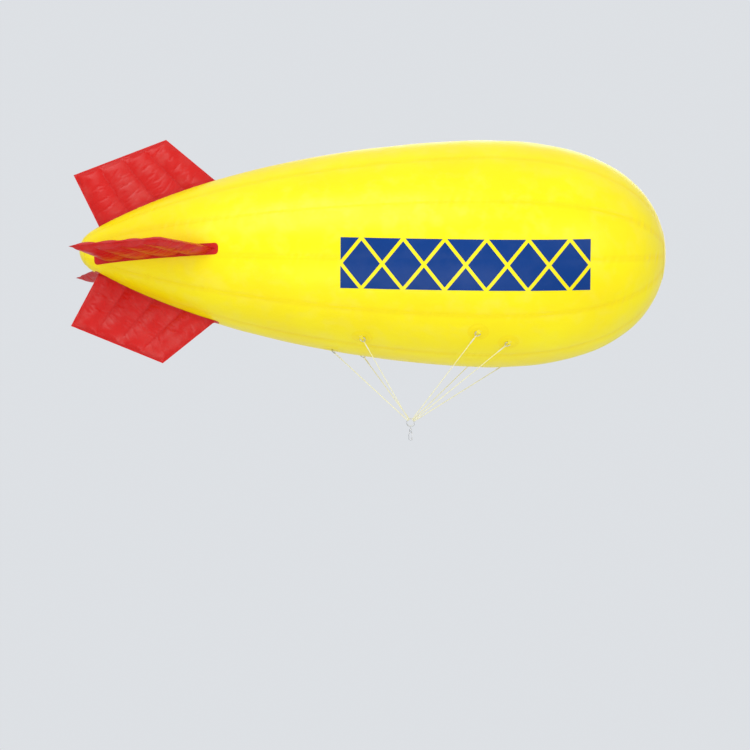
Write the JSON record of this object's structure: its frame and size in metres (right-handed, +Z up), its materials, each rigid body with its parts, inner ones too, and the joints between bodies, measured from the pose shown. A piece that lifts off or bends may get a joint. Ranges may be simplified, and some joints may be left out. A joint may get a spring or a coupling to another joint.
{
  "type": "advertising blimp balloon",
  "caption": "Helium advertising blimp: a teardrop hull with inflated tail fins, and a rope bridle gathered on a ring with a swivel hook.",
  "frame": {"origin": "the hull's centre of buoyancy, on its long axis", "axes": "+X to the nose along the hull, +Y to the left side, +Z up"},
  "size_m": [6.0803, 2.342, 3.122],
  "materials": {
    "hull_skin": "satin film",
    "fin_skin": "satin film",
    "hull_print": "printed film",
    "hull_webbing": "woven",
    "line_rope": "laid rope",
    "hardware_steel": "polished",
    "valve_plastic": "moulded"
  },
  "bodies": {
    "balloon": {"envelope": "hull_skin", "nose_cap": "hull_skin", "tail_cap": "hull_skin", "fin_top": "fin_skin", "fin_top_root": "fin_skin", "fin_bottom": "fin_skin", "fin_bottom_root": "fin_skin", "fin_left": "fin_skin", "fin_left_root": "fin_skin", "fin_right": "fin_skin", "fin_right_root": "fin_skin", "patch_left_bow": "hull_webbing", "patch_right_bow": "hull_webbing", "patch_left_fore": "hull_webbing", "patch_right_fore": "hull_webbing", "patch_left_aft": "hull_webbing", "patch_right_aft": "hull_webbing", "patch_keel_aft": "hull_webbing", "d_ring_left_bow": "hardware_steel", "d_ring_right_bow": "hardware_steel", "d_ring_left_fore": "hardware_steel", "d_ring_right_fore": "hardware_steel", "d_ring_left_aft": "hardware_steel", "d_ring_right_aft": "hardware_steel", "d_ring_keel_aft": "hardware_steel", "line_left_bow": "line_rope", "line_right_bow": "line_rope", "line_left_fore": "line_rope", "line_right_fore": "line_rope", "line_left_aft": "line_rope", "line_right_aft": "line_rope", "line_keel_aft": "line_rope", "bridle_ring": "hardware_steel", "swivel_eye": "hardware_steel", "valve_body": "valve_plastic"},
    "hook": {"snap_hook": "hardware_steel"},
    "gate": {"hook_gate": "hardware_steel"},
    "valve_plug": {"valve_cap": "valve_plastic"}
  },
  "joints": [
    {"name": "swivel_turn", "type": "hinge", "parent": "balloon", "child": "hook", "pos_m": [-0.097, 0, -1.85], "axis": [0, 0, 1], "continuous": true},
    {"name": "gate_open", "type": "hinge", "parent": "hook", "child": "gate", "pos_m": [-0.08, 0, -1.893], "axis": [0, 1, 0], "range_deg": [0, 28], "stiffness_Nm_per_rad": 0.002, "springref_deg": -17.19},
    {"name": "valve_cap_open", "type": "hinge", "parent": "balloon", "child": "valve_plug", "pos_m": [-1.55048, 0.64898, -0.64898], "axis": [0, 0.7071, 0.7071], "range_deg": [0, 140]}
  ]
}
